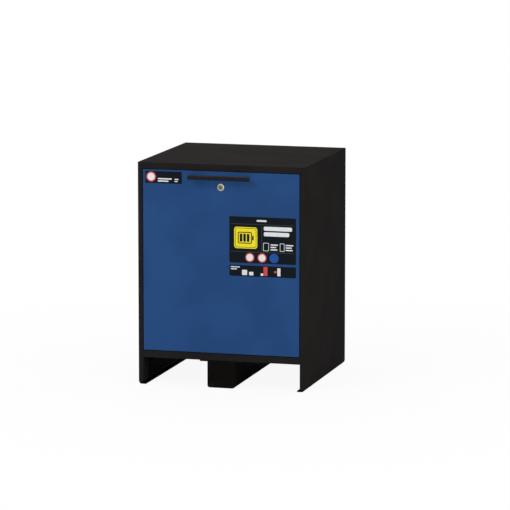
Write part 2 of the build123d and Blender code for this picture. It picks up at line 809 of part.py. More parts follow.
def socket_inserts():
    """Recessed round inserts, each with a rim and two pin holes."""
    cup_y = strip_front_y + socket_depth
    pin_places = [(x + side * socket_radius / 2, z) for x, z in socket_places() for side in (1, -1)]
    with BuildPart() as inserts:
        cup_bottom = cup_y + strip_wall
        extrude(discs(socket_places(), socket_radius + strip_wall, cup_bottom), amount=socket_depth + strip_wall)
        extrude(discs(socket_places(), socket_rim, strip_front_y), amount=strip_wall)
        extrude(discs(socket_places(), socket_radius, cup_y), amount=socket_depth + strip_wall, mode=Mode.SUBTRACT)
        extrude(discs(pin_places, 2.5, cup_bottom), amount=strip_wall, mode=Mode.SUBTRACT)
    return inserts.part


def switch_rocker():
    """Rocker with two faces that meet over its hinge; at rest the lower one is flush."""
    half = rocker_size[1] / 2
    lift = half * tan(radians(rocker_angle))
    face_y = strip_front_y - strip_wall / 2
    with BuildPart() as rocker:
        with BuildSketch(Plane.YZ.offset(rocker_x - rocker_size[0] / 2)):
            with BuildLine():
                Polyline(
                    (face_y, strip_z - half),
                    (face_y, strip_z),
                    (face_y - lift, strip_z + half),
                    (strip_front_y, strip_z + half),
                    (strip_front_y + rocker_depth, strip_z + half / 2),
                    (strip_front_y + rocker_depth, strip_z - half / 2),
                    (strip_front_y, strip_z - half),
                    close=True,
                )
            make_face()
        extrude(amount=rocker_size[0])
    return rocker.part


save(socket_strip(), "socket_strip")
save(socket_inserts(), "socket_inserts")
save(switch_rocker(), "switch_rocker")


# ======================= back: air spigots, valves, cable entry =======================
def air_spigot():
    """Sleeve through the wall with a flange and a duct stub."""
    place = [(spigot_spacing / 2, spigot_z)]
    face_y = back_plate_y + skin
    flange_y = face_y + spigot_flange
    end_y = back_y + spigot_reach
    with BuildPart() as spigot:
        extrude(discs(place, sleeve_radius, face_y), amount=face_y - inner_back_y)
        extrude(discs(place, spigot_flange_radius, flange_y), amount=spigot_flange)
        extrude(discs(place, spigot_radius, end_y), amount=end_y - flange_y)
        bore = end_y - inner_back_y
        extrude(discs(place, sleeve_radius - spigot_wall, end_y), amount=bore, mode=Mode.SUBTRACT)
        stub_bore = discs(place, spigot_radius - spigot_wall, end_y)
        extrude(stub_bore, amount=end_y - flange_y, mode=Mode.SUBTRACT)
    return spigot.part


def valve_guide():
    """Three-armed spider inside the sleeve, bored for the valve's stem."""
    place = [(spigot_spacing / 2, spigot_z)]
    hub_y = (inner_back_y + back_plate_y + skin) / 2
    hub = valve_stem_length / 3
    bore = sleeve_radius - spigot_wall
    with BuildPart() as guide:
        extrude(discs(place, valve_hub_radius, hub_y), amount=hub)
        with Locations((spigot_spacing / 2, hub_y - hub / 2, spigot_z)):
            for turn in (90, 210, 330):
                with Locations(Rotation(0, turn, 0)):
                    Box(bore + spigot_wall, hub, 2 * spigot_wall, align=(Align.MIN, Align.CENTER, Align.CENTER))
        extrude(discs(place, bore, hub_y), amount=hub, mode=Mode.INTERSECT)
        stem_hole = discs(place, valve_stem_radius + core_gap, hub_y)
        extrude(stem_hole, amount=hub, mode=Mode.SUBTRACT)
    return guide.part


def air_valve():
    """Disc on a stem that stands open in front of the air hole and closes it in a fire."""
    place = [(spigot_spacing / 2, spigot_z)]
    disc_back_y = inner_back_y - valve_travel
    stem_end_y = disc_back_y + valve_stem_length
    with BuildPart() as valve:
        extrude(discs(place, valve_radius, disc_back_y), amount=valve_plate)
        extrude(discs(place, valve_hub_radius, disc_back_y), amount=2 * valve_plate)
        extrude(discs(place, valve_stem_radius, stem_end_y), amount=valve_stem_length)
    return valve.part


def hexagon(y, across_flats):
    """Hexagon outline round the cable entry, in the plane at y."""
    with BuildSketch(Plane.XZ.offset(-y)) as outline:
        with Locations((-cable_x, strip_z)):
            RegularPolygon(across_flats / 2, 6, major_radius=False)
    return outline.sketch


def cable_gland():
    """Gland with a hexagon on the back panel, a domed cap and a threaded tube through the wall."""
    place = [(-cable_x, strip_z)]
    face_y = back_plate_y + skin
    end_y = face_y + gland_reach
    tube = face_y - inner_back_y + gland_nut + 2
    with BuildPart() as gland:
        extrude(discs(place, gland_thread_radius, face_y), amount=tube)
        extrude(hexagon(face_y + gland_nut, gland_hex), amount=gland_nut)
        extrude(discs(place, gland_hex / 2 - 1.5, end_y), amount=gland_reach - gland_nut)
        chamfer(gland.faces().sort_by(Axis.Y)[-1].edges(), 3)
        extrude(discs(place, gland_bore, end_y), amount=gland_reach + tube, mode=Mode.SUBTRACT)
    return gland.part


def gland_nut_part():
    """Hexagon nut on the gland's thread, inside the socket strip."""
    with BuildPart() as nut:
        extrude(hexagon(inner_back_y, gland_hex), amount=gland_nut)
        hole = discs([(-cable_x, strip_z)], gland_thread_radius + thread_gap, inner_back_y)
        extrude(hole, amount=gland_nut, mode=Mode.SUBTRACT)
    return nut.part


save_pair(air_spigot(), "air_spigot")
save_pair(valve_guide(), "valve_guide")
save_pair(air_valve(), "air_valve")
save(cable_gland(), "cable_gland")
save(gland_nut_part(), "gland_nut")
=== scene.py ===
# %% [markdown]
# # A charging cabinet for lithium-ion batteries
# The cabinet is a folded steel casing with insulation behind it, one tall drawer with a bow
# handle and a key lock, and skids under the floor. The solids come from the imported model, so this
# lesson adds what a maker adds last: the finishes, the information plates, the rivets and weld
# runs, and a plain studio with a camera. The frame is loaded first, because every new piece is
# placed from the boxes of its parts.

from math import cos, pi, radians, sin, tan

import bmesh
import bpy
from mathutils import Matrix, Vector


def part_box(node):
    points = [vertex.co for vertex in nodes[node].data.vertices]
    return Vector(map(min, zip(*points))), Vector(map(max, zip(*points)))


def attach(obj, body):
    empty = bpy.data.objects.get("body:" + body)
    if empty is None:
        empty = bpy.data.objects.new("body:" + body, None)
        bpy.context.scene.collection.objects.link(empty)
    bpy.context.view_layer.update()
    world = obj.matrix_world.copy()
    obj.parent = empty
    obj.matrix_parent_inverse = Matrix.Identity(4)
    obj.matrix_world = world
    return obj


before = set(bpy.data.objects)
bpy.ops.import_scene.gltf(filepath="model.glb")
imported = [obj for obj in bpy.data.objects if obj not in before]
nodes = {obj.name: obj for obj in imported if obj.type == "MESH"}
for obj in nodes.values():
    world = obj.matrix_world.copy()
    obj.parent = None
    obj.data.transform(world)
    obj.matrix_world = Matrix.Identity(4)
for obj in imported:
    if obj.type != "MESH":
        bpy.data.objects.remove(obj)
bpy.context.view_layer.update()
MM = 0.001

# %% [markdown]
# ## Adding a node
# Finishes, the studio and the rows of rivets are all built from nodes. One function adds any
# node: its settings come first, because some of them change which inputs it has, and then each
# input gets a link or a plain value.
#
# A finish is also a small sum: a base colour, plus a little more here and a little less there.
# Blender does such sums with Math nodes, which are slow to wire by hand. The class below wraps a
# socket, so that `1 - dust * 0.3` in Python adds the Math nodes itself. Colours never go through
# it, because a Math node would turn them grey.

# %% A node, and a number on a socket
def add_node(tree, kind, settings, values):
    """Adds a node of a kind to a tree, with its settings and its inputs."""
    node = tree.nodes.new(kind)
    for key, value in settings.items():
        setattr(node, key, value)
    for key, value in values.items():
        if isinstance(value, Amount):
            value = value.socket
        if isinstance(value, bpy.types.NodeSocket):
            tree.links.new(value, node.inputs[key])
        else:
            node.inputs[key].default_value = value
    return node


class Amount:
    """A number that varies over a surface, with the usual operators."""

    def __init__(self, tree, socket):
        self.tree, self.socket = tree, socket

    def _math(self, operation, first, second):
        node = add_node(self.tree, "ShaderNodeMath", {"operation": operation}, {0: first, 1: second})
        return Amount(self.tree, node.outputs[0])

    def __add__(self, other):
        return self._math("ADD", self, other)

    def __radd__(self, other):
        return self._math("ADD", other, self)

    def __sub__(self, other):
        return self._math("SUBTRACT", self, other)

    def __rsub__(self, other):
        return self._math("SUBTRACT", other, self)

    def __mul__(self, other):
        return self._math("MULTIPLY", self, other)

    def __rmul__(self, other):
        return self._math("MULTIPLY", other, self)

    def at_least(self, other):
        """The greater of the two amounts."""
        return self._math("MAXIMUM", self, other)

    def ramp(self, low, high):
        """0 below low, 1 above high, and smooth between."""
        settings = {"interpolation_type": "SMOOTHSTEP"}
        node = add_node(self.tree, "ShaderNodeMapRange", settings, {0: self, 1: low, 2: high})
        return Amount(self.tree, node.outputs[0])


# %% [markdown]
# ## A finish
# Every finish starts in the same way: one Principled shader on object coordinates. The grain of a
# finish is a noise at a real size, given in millimetres, because a powder coat looks wrong as
# soon as its grain is as large as a coin.

# %% The finish builder
class Finish:
    """A material made of nodes on Object coordinates."""

    def __init__(self, name, roughness=0.5, metallic=0.0, specular=0.5):
        self.material = bpy.data.materials.new(name)
        self.material.use_nodes = True
        self.tree = self.material.node_tree
        self.tree.nodes.clear()
        values = {"Roughness": roughness, "Metallic": metallic, "Specular IOR Level": specular}
        self.shader = self.add("ShaderNodeBsdfPrincipled", {}, values)
        self.add("ShaderNodeOutputMaterial", {}, {0: self.shader.outputs[0]})
        self.place = self.add("ShaderNodeTexCoord", {}, {}).outputs["Object"]

    def add(self, kind, settings, values):
        return add_node(self.tree, kind, settings, values)

    def noise(self, size_mm, stretch=(1, 1, 1), detail=3.0, rough=0.5):
        """Soft noise whose spots are about size_mm across, stretched along the axes."""
        scale = [1 / s for s in stretch]
        placed = self.add("ShaderNodeMapping", {}, {"Vector": self.place, "Scale": scale})
        values = {"Vector": placed.outputs[0], "Scale": 1 / (size_mm * MM)}
        values.update({"Detail": detail, "Roughness": rough})
        return Amount(self.tree, self.add("ShaderNodeTexNoise", {}, values).outputs[0])

    def cells(self, size_mm):
        """Distance to the middle of Voronoi cells about size_mm across."""
        values = {"Vector": self.place, "Scale": 1 / (size_mm * MM)}
        node = self.add("ShaderNodeTexVoronoi", {"feature": "F1"}, values)
        return Amount(self.tree, node.outputs["Distance"])

    def height(self):
        """How high the point is above the floor, in metres."""
        split = self.add("ShaderNodeSeparateXYZ", {}, {0: self.place})
        return Amount(self.tree, split.outputs["Z"])

    def blend(self, amount, first, second):
        """The colour that goes from first to second with the amount."""
        settings = {"data_type": "RGBA", "clamp_factor": True}
        return self.add("ShaderNodeMix", settings, {0: amount, 6: first, 7: second}).outputs[2]

    def color(self, socket):
        self.tree.links.new(socket, self.shader.inputs["Base Color"])

    def rough(self, amount):
        self.tree.links.new(amount.socket, self.shader.inputs["Roughness"])

    def bump(self, height, depth_mm):
        """Raises the surface by height times depth_mm."""
        values = {"Strength": 1.0, "Distance": depth_mm * MM, "Height": height}
        node = self.add("ShaderNodeBump", {}, values)
        self.tree.links.new(node.outputs["Normal"], self.shader.inputs["Normal"])


def tone(r, g, b):
    """A linear colour from 0-255 display values."""

    def linear(v):
        return ((v / 255 + 0.055) / 1.055) ** 2.4 if v > 10 else v / 255 / 12.92

    return (linear(r), linear(g), linear(b), 1.0)


def shade(color, factor):
    """The same colour, darker or lighter."""
    return tuple(min(c * factor, 1) for c in color[:3]) + (1.0,)


# %% [markdown]
# ## Powder coat
# The casing, the skids and the drawer front are steel with a baked powder coat. A coat like this
# has a fine orange-peel surface, slightly uneven gloss, and a faint change of tone over a large
# panel. Dust settles low down, and the edges that shoes and forks reach get scuffed, so the
# finish takes a height below which scuffs show. The casing's coat is nearly without gloss.

# %% Powder coats
def powder_coat(name, color, roughness, scuffs_below=None, specular=0.015):
    coat = Finish(name, roughness, specular=specular)
    cloud = coat.noise(160, detail=2)
    fleck = coat.noise(0.9, detail=1)
    varied = coat.blend(cloud.ramp(0.35, 0.65), shade(color, 0.94), shade(color, 1.07))
    varied = coat.blend(fleck.ramp(0.62, 0.75) * 0.22, varied, shade(color, 1.7))
    peel = coat.noise(1.1, detail=2, rough=0.45)
    gloss = roughness + (coat.noise(45, detail=3) - 0.5) * 0.16 + (peel - 0.5) * 0.08
    if scuffs_below is not None:
        streaks = coat.noise(2.2, stretch=(9, 9, 0.9), detail=4, rough=0.65).ramp(0.62, 0.72)
        low = 1 - coat.height().ramp(scuffs_below * 0.3, scuffs_below)
        scuff = streaks * low * 0.55
        varied = coat.blend(scuff, varied, tone(116, 112, 108))
        gloss = gloss + scuff * 0.2
    coat.color(varied)
    coat.rough(gloss)
    coat.bump(peel, 0.03)
    return coat.material


casing_coat = powder_coat("casing_coat", tone(36, 33, 33), 0.68, specular=0.001)
skid_coat = powder_coat("skid_coat", tone(16, 14, 13), 0.6, scuffs_below=0.03)
front_coat = powder_coat("front_coat", tone(40, 75, 125), 0.55)
tub_coat = powder_coat("tub_coat", tone(160, 163, 165), 0.45, specular=0.3)
trim_coat = powder_coat("trim_coat", tone(196, 197, 194), 0.5, specular=0.3)
print("powder coats made")

# %% [markdown]
# ## Bare metals
# Zinc-plated runners have a bright, slightly cloudy sheet with drawing marks along their length.
# Stainless sheet is ground in one direction. Both are one recipe: long thin noise for the marks
# and slow noise for the cloud. The polished lock ring is a metal with hardly any marks.

# %% Metals
def drawn_metal(name, color, roughness, along, mark_depth=0.012, cloud=0.12):
    metal = Finish(name, roughness, metallic=1.0)
    stretch = [60 if axis == along else 1 for axis in "XYZ"]
    marks = metal.noise(0.5, stretch=stretch, detail=2)
    patches = metal.noise(14, detail=4, rough=0.6)
    metal.color(metal.blend(patches.ramp(0.3, 0.7), shade(color, 0.86), shade(color, 1.08)))
    metal.rough(roughness + (patches - 0.5) * cloud + (marks - 0.5) * 0.18)
    metal.bump(marks, mark_depth)
    return metal.material


zinc = drawn_metal("bright_zinc", tone(196, 200, 204), 0.34, "Y")
galvanised = drawn_metal("galvanised", tone(186, 190, 193), 0.42, "Y", cloud=0.25)
stainless = drawn_metal("ground_stainless", tone(198, 198, 196), 0.32, "X")
nickel = drawn_metal("polished_nickel", tone(214, 210, 202), 0.16, "X", 0.003, 0.05)
lock_brass = drawn_metal("lock_core_metal", tone(128, 122, 96), 0.34, "X", 0.006)
handle_metal = drawn_metal("handle_anodised", tone(40, 38, 41), 0.36, "X", 0.006, 0.08)
print("metals made")

# %% [markdown]
# ## Boards, seals and plastics
# The insulation is mineral fibre and the liner a pressed, light board, so both are matte and
# slightly fibrous. The seal is a graphite strip that swells in a fire: dark, with a fine sparkle.
# Moulded plastics get the soft grain of a spark-eroded mould.

# %% Boards, seals and plastics
def fibre_board(name, color, fibre_mm, depth_mm):
    board = Finish(name, 0.85)
    fibres = board.noise(fibre_mm, stretch=(5, 5, 1), detail=5, rough=0.65)
    stain = board.noise(90, detail=3)
    base = board.blend(fibres.ramp(0.3, 0.7), shade(color, 0.88), shade(color, 1.06))
    board.color(board.blend(stain.ramp(0.55, 0.8) * 0.25, base, shade(color, 0.82)))
    board.rough(0.85 - fibres * 0.15)
    board.bump(fibres, depth_mm)
    return board.material


def moulded(name, color, roughness, grain_mm=0.5, depth_mm=0.02):
    plastic = Finish(name, roughness)
    grain = plastic.noise(grain_mm, detail=2)
    slow = plastic.noise(30, detail=2)
    plastic.color(plastic.blend(slow.ramp(0.3, 0.7), shade(color, 0.92), shade(color, 1.08)))
    plastic.rough(roughness + (grain - 0.5) * 0.14)
    plastic.bump(grain, depth_mm)
    return plastic.material


def graphite_strip():
    strip = Finish("graphite_strip", 0.7)
    sparkle = strip.cells(0.8)
    strip.color(strip.blend(sparkle.ramp(0.1, 0.5), tone(84, 84, 86), tone(34, 34, 36)))
    strip.rough(0.55 + sparkle * 0.3)
    strip.bump(strip.noise(1.4, detail=3), 0.06)
    return strip.material


insulation_fibre = fibre_board("insulation_fibre", tone(222, 214, 190), 0.9, 0.15)
liner_face = fibre_board("liner_face", tone(206, 204, 198), 0.5, 0.05)
housing_plastic = moulded("housing_plastic", tone(52, 52, 55), 0.55)
socket_plastic = moulded("socket_plastic", tone(40, 40, 42), 0.35, 0.4, 0.008)
rocker_plastic = moulded("rocker_plastic", tone(178, 40, 32), 0.3, 0.4, 0.006)
gland_plastic = moulded("gland_plastic", tone(138, 141, 144), 0.5)
graphite = graphite_strip()
print("boards, seals and plastics made")

# %% [markdown]
# ## Which part has which finish
# A solid keeps its own shape and only gets a finish. The list goes by the start of the part's
# name, so that left and right parts are named once.

# %% Dress the solids
finish_of = {
    "side_panel": casing_coat,
    "top_panel": casing_coat,
    "base_panel": casing_coat,
    "back_panel": casing_coat,
    "foot_rail": skid_coat,
    "centre_skid": skid_coat,
    "insulation": insulation_fibre,
    "liner": liner_face,
    "frame_trim": trim_coat,
    "swelling_seal": graphite,
    "front_skin": front_coat,
    "front_insulation": insulation_fibre,
    "front_liner": liner_face,
    "front_gasket": graphite,
    "front_stay": tub_coat,
    "front_screws": zinc,
    "handle_screws": zinc,
    "handle": handle_metal,
    "lock_rosette": nickel,
    "lock_core": lock_brass,
    "lock_bolt": stainless,
    "lock_case": zinc,
    "runner": zinc,
    "cage": zinc,
    "tub": tub_coat,
    "perforated_insert": stainless,
    "socket_strip": housing_plastic,
    "socket_inserts": socket_plastic,
    "switch_rocker": rocker_plastic,
    "cable_gland": gland_plastic,
    "gland_nut": gland_plastic,
    "air_spigot": galvanised,
    "valve_guide": galvanised,
    "air_valve": galvanised,
}
for name, node in nodes.items():
    starts = [start for start in finish_of if name.startswith(start)]
    best = max(starts, key=len)
    for entry in node.material_slots:
        entry.material = finish_of[best]
    if not node.material_slots:
        node.data.materials.append(finish_of[best])
print("dressed", len(nodes), "solids")

# %% [markdown]
# ## Flat pieces with rounded corners
# The information plates are printed film on thin plates. One helper makes a slab with rounded
# corners that stands upright and faces the front. A second one adds many slabs to one mesh, so
# that all the print of one colour is one piece.

# %% Slabs and discs
def add_outline(mesh, outline, back_y, thickness):
    """Adds a closed prism: outline is a list of (x, z), its back at back_y, towards the front."""
    back = [mesh.verts.new((x, back_y, z)) for x, z in outline]
    front = [mesh.verts.new((x, back_y - thickness, z)) for x, z in outline]
    mesh.faces.new(front)
    mesh.faces.new(list(reversed(back)))
    count = len(outline)
    for i in range(count):
        j = (i + 1) % count
        mesh.faces.new([front[j], front[i], back[i], back[j]])


def rounded(x0, x1, z0, z1, radius, steps=5):
    """Outline of a rectangle with rounded corners, counter-clockwise seen from the front."""
    corners = [(x1 - radius, z0 + radius, -90), (x1 - radius, z1 - radius, 0)]
    corners += [(x0 + radius, z1 - radius, 90), (x0 + radius, z0 + radius, 180)]
    points = []
    for cx, cz, start in corners:
        for i in range(steps + 1):
            angle = radians(start + 90 * i / steps)
            points.append((cx + radius * cos(angle), cz + radius * sin(angle)))
    return points


def round_outline(x, z, radius, steps=32):
    turns = [2 * pi * i / steps for i in range(steps)]
    return [(x + radius * cos(turn), z + radius * sin(turn)) for turn in turns]


def add_band(mesh, outer, inner, back_y, thickness):
    """Adds a flat frame between two outlines with the same number of points."""
    front_y = back_y - thickness
    rings = []
    for outline, y in ((outer, back_y), (outer, front_y), (inner, front_y), (inner, back_y)):
        rings.append([mesh.verts.new((x, y, z)) for x, z in outline])
    count = len(outer)
    for k in range(4):
        first, second = rings[k], rings[(k + 1) % 4]
        for i in range(count):
            j = (i + 1) % count
            mesh.faces.new([first[i], first[j], second[j], second[i]])


def piece(name, mesh, material, body):
    """Turns a bmesh into an object that rides on a body."""
    bmesh.ops.recalc_face_normals(mesh, faces=mesh.faces)
    data = bpy.data.meshes.new(name)
    mesh.to_mesh(data)
    mesh.free()
    data.materials.append(material)
    made = bpy.data.objects.new(name, data)
    bpy.context.scene.collection.objects.link(made)
    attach(made, body)
    return made


# %% [markdown]
# ## The information plates
# The front carries a small plate at the top left and a large one with a strip under it at the
# right. They are dark film, divided by thin pale lines, with plain fields, squares and discs in
# place of any words or signs. The print stands a hair above the film, so no two faces share a
# plane.

# %% Plate finishes
def printed_film(name, color, roughness=0.38):
    film = Finish(name, roughness, specular=0.06)
    slow = film.noise(60, detail=2)
    fine = film.noise(0.6, detail=1)
    film.color(film.blend(slow.ramp(0.3, 0.7), shade(color, 0.96), shade(color, 1.03)))
    film.rough(roughness + (slow - 0.5) * 0.12 + (fine - 0.5) * 0.05)
    film.bump(fine, 0.004)
    return film.material


film_dark = printed_film("film_dark", tone(15, 22, 28), 0.4)
film_line = printed_film("film_line", tone(74, 82, 82))
print_pale = printed_film("print_pale", tone(226, 228, 230))
print_yellow = printed_film("print_yellow", tone(240, 224, 48))
print_red = printed_film("print_red", tone(204, 74, 74))
print_blue = printed_film("print_blue", tone(36, 82, 158))

# %% Plate sizes and places
face_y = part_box("front_skin")[0][1]
plate_thickness = 0.5 * MM
print_thickness = 0.12 * MM
film_y = face_y - plate_thickness
badge = (-268.5, -138.5, 704.0, 745.5)
panel = (31.0, 266.5, 440.0, 599.5)
strip = (31.0, 266.5, 394.0, 431.5)


def in_metres(*values):
    return [v * MM for v in values]


# %% Plates
plates = bmesh.new()
for edges in (badge, panel, strip):
    add_outline(plates, rounded(*in_metres(*edges), 2.5 * MM), face_y, plate_thickness)
piece("plate_films", plates, film_dark, "drawer")

lines = bmesh.new()
head_z, foot_z, middle_x = 574.3, 478.7, 145.8
half = 0.5
line_edges = [(37, 260.5, z - half, z + half) for z in (head_z, foot_z)]
line_edges.append((middle_x - half, middle_x + half, foot_z + 5, head_z - 5))
for edges in line_edges:
    add_outline(lines, rounded(*in_metres(*edges), 0.3 * MM, 2), film_y, print_thickness)
piece("plate_lines", lines, film_line, "drawer")

# %% [markdown]
# The pale print is made of short bars, two outlined squares and the faces of the discs. The bars
# keep an even rhythm from a short list of lengths, so the plate reads as a filled form and says
# nothing.

# %% Pale print
pale = bmesh.new()


def bars(left, top, lengths, height, pitch):
    """Plain bars under each other, each with its own length."""
    for i, length in enumerate(lengths):
        z = top - i * pitch
        edges = in_metres(left, left + length, z - height, z)
        add_outline(pale, rounded(*edges, height * MM * 0.3, 2), film_y, print_thickness)


bars(128, 590, [35], 6.0, 10)
bars(153, 568, [100, 90], 14.0, 19)
bars(177, 508, [26, 20, 24], 4.2, 8.4)
bars(230, 508, [27, 22, 25], 4.2, 8.4)
bars(36, 427, [32, 22], 3.4, 7.4)
bars(-224, 722, [50, 38], 4.6, 8.0)
bars(-164, 721, [14, 11], 3.6, 7.0)
for left, right in ((151, 171), (210, 226)):
    outer = rounded(*in_metres(left, right, 484, 512), 1.5 * MM, 2)
    inner = rounded(*in_metres(left + 1.6, right - 1.6, 485.6, 510.4), 0.9 * MM, 2)
    add_band(pale, outer, inner, film_y, print_thickness)
strip_blocks = [(76, 94, 398, 416), (101, 116, 398, 410), (142, 151, 398, 406), (201, 212, 399, 426)]
for edges in strip_blocks:
    add_outline(pale, rounded(*in_metres(*edges), 1.2 * MM, 2), film_y, print_thickness)
disc_radius, disc_z = 16.2, 459.5
disc_places = [(103.4, disc_z), (146.8, disc_z)]
badge_disc = (-248.0, 726.0)
for x, z in disc_places:
    add_outline(pale, round_outline(x * MM, z * MM, (disc_radius - 4) * MM), film_y, print_thickness)
badge_x, badge_z = badge_disc
add_outline(pale, round_outline(badge_x * MM, badge_z * MM, 13.4 * MM), film_y, print_thickness)
piece("plate_print_pale", pale, print_pale, "drawer")

# %% Coloured print
def coloured(name, material, outlines):
    mesh = bmesh.new()
    for outline in outlines:
        if len(outline) == 2:
            add_band(mesh, *outline, film_y, print_thickness * 1.5)
        else:
            add_outline(mesh, outline, film_y, print_thickness * 1.5)
    return piece(name, mesh, material, "drawer")


def disc_ring(x, z, outer, inner):
    return (round_outline(x * MM, z * MM, outer * MM), round_outline(x * MM, z * MM, inner * MM))


yellow_field = rounded(*in_metres(48, 130, 490, 564), 9 * MM)
coloured("plate_print_yellow", print_yellow, [yellow_field])
red_forms = [disc_ring(x, z, disc_radius, disc_radius - 3.8) for x, z in disc_places]
red_forms.append(disc_ring(*badge_disc, 17.6, 13.2))
for edges in ((152, 166, 398, 429), (189, 199, 409, 416)):
    red_forms.append(rounded(*in_metres(*edges), 1.2 * MM, 2))
coloured("plate_print_red", print_red, red_forms)
coloured("plate_print_blue", print_blue, [round_outline(189.4 * MM, disc_z * MM, disc_radius * MM)])

# %% [markdown]
# The yellow field carries a plain battery: a thin dark border, a cell with its tip, and three
# bars for its charge. They lie on the yellow print, so they start at its face.

# %% Battery mark
mark = bmesh.new()
mark_y = film_y - print_thickness * 1.5


def frame_outlines(x0, x1, z0, z1, radius, width):
    """The outer and inner outline of a frame with rounded corners, in mm."""
    outer = rounded(*in_metres(x0, x1, z0, z1), radius * MM, 4)
    inner_edges = in_metres(x0 + width, x1 - width, z0 + width, z1 - width)
    inner = rounded(*inner_edges, (radius - width) * MM, 4)
    return outer, inner


add_band(mark, *frame_outlines(51.5, 126.5, 493.5, 560.5, 6.5, 1.5), mark_y, print_thickness)
add_band(mark, *frame_outlines(61, 111, 507, 547, 4.5, 3), mark_y, print_thickness)
add_outline(mark, rounded(*in_metres(112, 117, 519, 535), 1.2 * MM, 3), mark_y, print_thickness)
bar_low, bar_high, bar_width = 513.5, 540.5, 9
for left in (68, 80.5, 93):
    bar = rounded(*in_metres(left, left + bar_width, bar_low, bar_high), 1.2 * MM, 3)
    add_outline(mark, bar, mark_y, print_thickness)
piece("plate_cell_mark", mark, film_dark, "drawer")
print("plates made")

# %% [markdown]
# ## Rivets and weld runs
# The back panel is riveted to the returns of the side walls, and the centre skid is welded on with
# short runs. Both are rows of low domes: far apart for rivets, and overlapping for a weld. A
# Geometry Nodes tree makes such a row between two points, with inputs for its count and sizes.
# Every tree ends in Realize Instances, because instances would be lost in the exported model.

# %% A row of domes
def repeat_tree(name, inputs):
    """An empty tree with one geometry output; inputs are (name, kind, default) of its sizes."""
    tree = bpy.data.node_groups.new(name, "GeometryNodeTree")
    tree.interface.new_socket("Geometry", in_out="OUTPUT", socket_type="NodeSocketGeometry")
    for title, kind, value in inputs:
        socket = tree.interface.new_socket(title, in_out="INPUT", socket_type="NodeSocket" + kind)
        if value is not None:
            socket.default_value = value
    return tree, add_node(tree, "NodeGroupInput", {}, {}).outputs


def repeat_on(tree, sizes, points, shape, turn=(0, 0, 0), scale=(1, 1, 1)):
    """Puts the shape on each point, makes the copies real and gives them their finish."""
    values = {"Points": points, "Instance": shape, "Rotation": turn, "Scale": scale}
    copies = add_node(tree, "GeometryNodeInstanceOnPoints", {}, values).outputs["Instances"]
    real = add_node(tree, "GeometryNodeRealizeInstances", {}, {"Geometry": copies}).outputs[0]
    values = {"Geometry": real, "Material": sizes["Finish"]}
    painted = add_node(tree, "GeometryNodeSetMaterial", {}, values).outputs["Geometry"]
    add_node(tree, "NodeGroupOutput", {}, {"Geometry": painted})


def dome_shape(tree, radius):
    values = {"Segments": 16, "Rings": 8, "Radius": radius}
    return add_node(tree, "GeometryNodeMeshUVSphere", {}, values).outputs["Mesh"]


def dome_row_tree():
    inputs = [("Start", "Vector", None), ("End", "Vector", None), ("Facing", "Vector", (0, 1, 0))]
    inputs += [("Count", "Int", 8), ("Radius", "Float", 0.003), ("Flatness", "Vector", (1, 1, 0.4))]
    tree, sizes = repeat_tree("dome_row", inputs + [("Finish", "Material", None)])
    values = {"Count": sizes["Count"], "Start Location": sizes["Start"], "Offset": sizes["End"]}
    row = add_node(tree, "GeometryNodeMeshLine", {"mode": "END_POINTS"}, values).outputs["Mesh"]
    align = add_node(tree, "FunctionNodeAlignRotationToVector", {}, {"Vector": sizes["Facing"]})
    dome = dome_shape(tree, sizes["Radius"])
    repeat_on(tree, sizes, row, dome, align.outputs["Rotation"], sizes["Flatness"])
    return tree


def grow(tree, **sizes):
    """Runs a tree with these inputs and gives its result as a plain mesh."""
    holder = bpy.data.objects.new("holder", bpy.data.meshes.new("holder"))
    bpy.context.scene.collection.objects.link(holder)
    modifier = holder.modifiers.new("grow", "NODES")
    modifier.node_group = tree
    for item in tree.interface.items_tree:
        if item.item_type == "SOCKET" and item.in_out == "INPUT" and item.name in sizes:
            modifier[item.identifier] = sizes[item.name]
    graph = bpy.context.evaluated_depsgraph_get()
    data = bpy.data.meshes.new_from_object(holder.evaluated_get(graph), depsgraph=graph)
    bpy.data.objects.remove(holder)
    return data


def joined(name, meshes, material, body):
    """Joins plain meshes into one piece on a body."""
    whole = bmesh.new()
    for data in meshes:
        whole.from_mesh(data)
        bpy.data.meshes.remove(data)
    for face in whole.faces:
        face.smooth = True
    return piece(name, whole, material, body)


dome_row = dome_row_tree()

# %% Rivets down the back
side_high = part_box("side_panel_right")[1]
return_x, rear_y = side_high[0] - 9 * MM, side_high[1]
rivet_low_z, rivet_high_z = 0.13, 0.745
rivet_steel = drawn_metal("rivet_steel", tone(150, 152, 154), 0.4, "X")
rows = []
for side in (1, -1):
    sizes = {"Count": 9, "Radius": 3.2 * MM, "Flatness": (1, 1, 0.4), "Facing": (0, 1, 0)}
    sizes["Start"] = (side * return_x, rear_y, rivet_low_z)
    sizes["End"] = (side * return_x, rear_y, rivet_high_z)
    rows.append(grow(dome_row, Finish=rivet_steel, **sizes))
rivets = joined("rivets_back", rows, rivet_steel, "carcass")
print("rivets:", len(rivets.data.vertices), "points")

# %% Weld runs under the floor
weld_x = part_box("centre_skid")[1][0]
weld_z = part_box("base_panel")[0][2] - 0.4 * MM
weld_half = 20 * MM
rows = []
for side in (1, -1):
    for middle_y in (-0.2, 0.0, 0.2):
        sizes = {"Count": 17, "Radius": 2.6 * MM, "Flatness": (1, 1, 0.6), "Facing": (side, 0, -1)}
        sizes["Start"] = (side * weld_x, middle_y - weld_half, weld_z)
        sizes["End"] = (side * weld_x, middle_y + weld_half, weld_z)
        rows.append(grow(dome_row, Finish=skid_coat, **sizes))
joined("weld_runs", rows, skid_coat, "carcass")

# %% [markdown]
# Each air spigot is held by six small rivets through its flange. They sit on a circle, so this
# tree starts from a circle of points in place of a line, and the dome stays the same.

